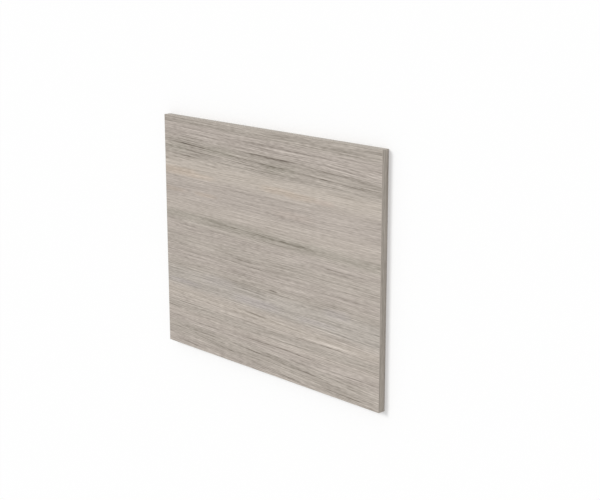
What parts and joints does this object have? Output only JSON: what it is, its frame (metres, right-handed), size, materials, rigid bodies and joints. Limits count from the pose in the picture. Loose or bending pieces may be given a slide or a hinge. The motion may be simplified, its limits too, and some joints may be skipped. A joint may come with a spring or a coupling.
{
  "type": "bath end panel",
  "caption": "Flat wood-effect faced board that closes the end of a bath, horizontal grain, edges banded and eased all round, lying face up.",
  "frame": {"origin": "centre of the back face, on the floor that the panel lies on", "axes": "+X along the width and the grain, from the wall edge to the front corner edge; +Y from the floor edge to the rim edge; +Z out of the finished face"},
  "size_m": [0.7, 0.56, 0.018],
  "materials": {
    "wood_effect_board": "satin melamine facing with a fine pressed grain, pale grey-brown driftwood effect, grain along the width"
  },
  "bodies": {
    "root": {"end_panel": "wood_effect_board"}
  },
  "joints": []
}
